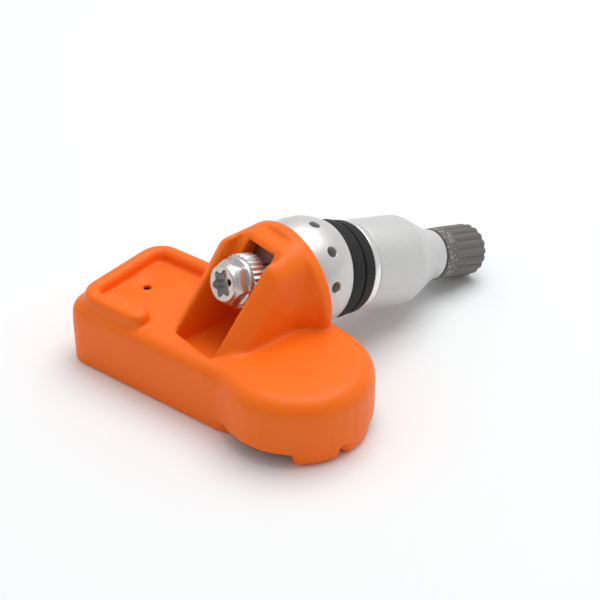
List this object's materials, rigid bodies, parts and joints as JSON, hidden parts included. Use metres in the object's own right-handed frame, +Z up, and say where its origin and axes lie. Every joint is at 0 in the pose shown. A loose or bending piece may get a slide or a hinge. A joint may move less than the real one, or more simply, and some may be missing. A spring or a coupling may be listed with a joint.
{
  "type": "tyre pressure sensor",
  "caption": "Tyre pressure sensor with a moulded housing, a ball-seated clamp-in valve, a rubber grommet, a sleeve nut and a valve cap.",
  "frame": {"origin": "rim seat: the centre of the flat front face of the valve's ball collar, where the rubber grommet begins", "axes": "+X along the valve towards its cap, seen from above, +Y towards the pad arm, +Z up; the valve itself points 16 degrees down towards its cap, as it lies on a table"},
  "size_m": [0.0774, 0.0597, 0.028],
  "materials": {
    "orange_plastic": "moulded glass-filled plastic, orange, satin with a fine grain",
    "cover_plastic": "dark moulded plastic with a laser-weld sheen",
    "board_laminate": "green glass-fibre laminate with solder resist",
    "cell_steel": "nickel-plated deep-drawn steel",
    "tab_steel": "thin nickel-plated strip",
    "chip_plastic": "black moulding compound",
    "soft_rubber": "black rubber, dull",
    "crystal_metal": "gold-washed metal lid",
    "ferrite": "dark sintered ferrite",
    "copper_wire": "enamelled copper wire",
    "antenna_brass": "tinned brass strip",
    "capacitor_ceramic": "tan sintered ceramic",
    "plated_steel": "bright zinc-plated steel",
    "washer_steel": "bright plated steel with cut teeth",
    "stem_aluminium": "matte anodised aluminium, pale silver",
    "grommet_rubber": "black moulded rubber",
    "ring_aluminium": "bright turned aluminium",
    "nut_aluminium": "satin anodised aluminium, silver grey",
    "core_brass": "turned brass",
    "pale_gasket": "pale sealing ring",
    "pin_brass": "drawn brass pin",
    "spring_steel": "hard-drawn spring wire",
    "cap_plastic": "dark warm grey moulded plastic"
  },
  "bodies": {
    "sensor_body": {"housing": "orange_plastic", "bottom_cover": "cover_plastic", "circuit_board": "board_laminate", "battery": "cell_steel", "battery_tab_top": "tab_steel", "battery_tab_base": "tab_steel", "pressure_chip": "chip_plastic", "port_gasket": "soft_rubber", "crystal": "crystal_metal", "pickup_core": "ferrite", "pickup_winding": "copper_wire", "radio_antenna": "antenna_brass", "chip_capacitors": "capacitor_ceramic"},
    "valve_unit": {"valve_stem": "stem_aluminium", "grommet": "grommet_rubber", "core_body": "core_brass", "core_gasket": "pale_gasket", "core_spring": "spring_steel"},
    "washer": {"toothed_washer": "washer_steel"},
    "screw": {"retaining_screw": "plated_steel"},
    "ring": {"nut_ring": "ring_aluminium"},
    "nut": {"sleeve_nut": "nut_aluminium"},
    "seal": {"cap_seal": "soft_rubber"},
    "cap": {"valve_cap": "cap_plastic"},
    "plunger": {"core_pin": "pin_brass", "core_seal": "soft_rubber"}
  },
  "joints": [
    {"name": "valve_tilt", "type": "hinge", "parent": "sensor_body", "child": "valve_unit", "pos_m": [-0.00423, 0, 0.00121], "axis": [0, 1, 0], "range_deg": [-20, 8]},
    {"name": "screw_travel", "type": "slide", "parent": "valve_unit", "child": "washer", "axis": [-0.9613, 0, 0.2756], "range_m": [0, 0.0048]},
    {"name": "screw_turn", "type": "hinge", "parent": "washer", "child": "screw", "pos_m": [-0.01826, 0, 0.00524], "axis": [-0.9613, 0, 0.2756], "range_deg": [0, 2160]},
    {"name": "nut_travel", "type": "slide", "parent": "valve_unit", "child": "ring", "axis": [0.9613, 0, -0.2756], "range_m": [0, 0.0005]},
    {"name": "nut_turn", "type": "hinge", "parent": "ring", "child": "nut", "pos_m": [0.00731, 0, -0.00209], "axis": [0.9613, 0, -0.2756], "range_deg": [0, 225]},
    {"name": "cap_travel", "type": "slide", "parent": "valve_unit", "child": "seal", "axis": [0.9613, 0, -0.2756], "range_m": [0, 0.0071]},
    {"name": "cap_turn", "type": "hinge", "parent": "seal", "child": "cap", "pos_m": [0.03268, 0, -0.00937], "axis": [0.9613, 0, -0.2756], "range_deg": [0, 3221]},
    {"name": "core_press", "type": "slide", "parent": "valve_unit", "child": "plunger", "axis": [-0.9613, 0, 0.2756], "range_m": [0, 0.0012], "stiffness_N_per_m": 500, "springref_m": -0.002}
  ],
  "couplings": [
    {"joint": "screw_turn", "follows": "screw_travel", "rad_per_m": 7854},
    {"joint": "nut_turn", "follows": "nut_travel", "rad_per_m": 7854},
    {"joint": "cap_turn", "follows": "cap_travel", "rad_per_m": 7915.8}
  ]
}
